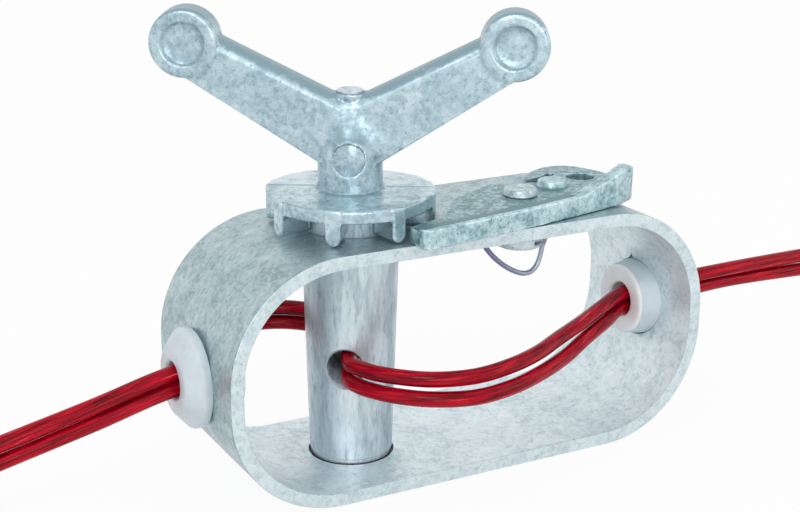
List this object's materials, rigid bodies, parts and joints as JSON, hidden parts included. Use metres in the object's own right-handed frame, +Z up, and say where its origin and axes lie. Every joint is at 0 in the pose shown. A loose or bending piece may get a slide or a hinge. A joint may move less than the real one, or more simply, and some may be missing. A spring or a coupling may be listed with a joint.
{
  "type": "ratchet cable winch",
  "caption": "Hand winch for a cover cable: a looped flat-bar frame, a ratcheted drum with a winged handle, a spring pawl and a doubled red cable.",
  "frame": {"origin": "middle of the frame's flat underside", "axes": "+X along the frame from the drum's end to the pawl's end, +Y to the back, +Z up along the drum's axis to the handle"},
  "size_m": [0.31, 0.0603, 0.1012],
  "materials": {
    "galvanised_bar": "matt galvanised, mottled",
    "galvanised_drum": "satin, drawn along its length",
    "galvanised_casting": "galvanised casting",
    "galvanised_pin": "satin",
    "spring_steel": "drawn wire",
    "nylon": "milky",
    "cable_jacket": "clear red jacket",
    "ferrule_alloy": "crimped"
  },
  "bodies": {
    "frame": {"frame": "galvanised_bar", "left_bush": "nylon", "right_bush": "nylon", "pawl_rivet": "galvanised_pin", "pawl_spring": "spring_steel", "left_upper_strand": "cable_jacket", "left_lower_strand": "cable_jacket", "right_upper_strand": "cable_jacket", "right_lower_strand": "cable_jacket", "left_cable_eye": "cable_jacket", "right_cable_eye": "cable_jacket", "left_ferrule": "ferrule_alloy", "right_ferrule": "ferrule_alloy"},
    "winder": {"handle": "galvanised_casting", "drum": "galvanised_drum", "cross_pin": "galvanised_pin", "retaining_ring": "spring_steel", "drum_upper_strand": "cable_jacket", "drum_lower_strand": "cable_jacket"},
    "pawl": {"pawl": "galvanised_casting"}
  },
  "joints": [
    {"name": "winder_turn", "type": "hinge", "parent": "frame", "child": "winder", "pos_m": [-0.022, 0, 0.0275], "axis": [0, 0, -1], "continuous": true},
    {"name": "pawl_swing", "type": "hinge", "parent": "frame", "child": "pawl", "pos_m": [0.016, -0.0075, 0.0573], "axis": [0, 0, 1], "range_deg": [-2.5, 12], "stiffness_Nm_per_rad": 0.03, "deforming": ["pawl_spring"]}
  ]
}
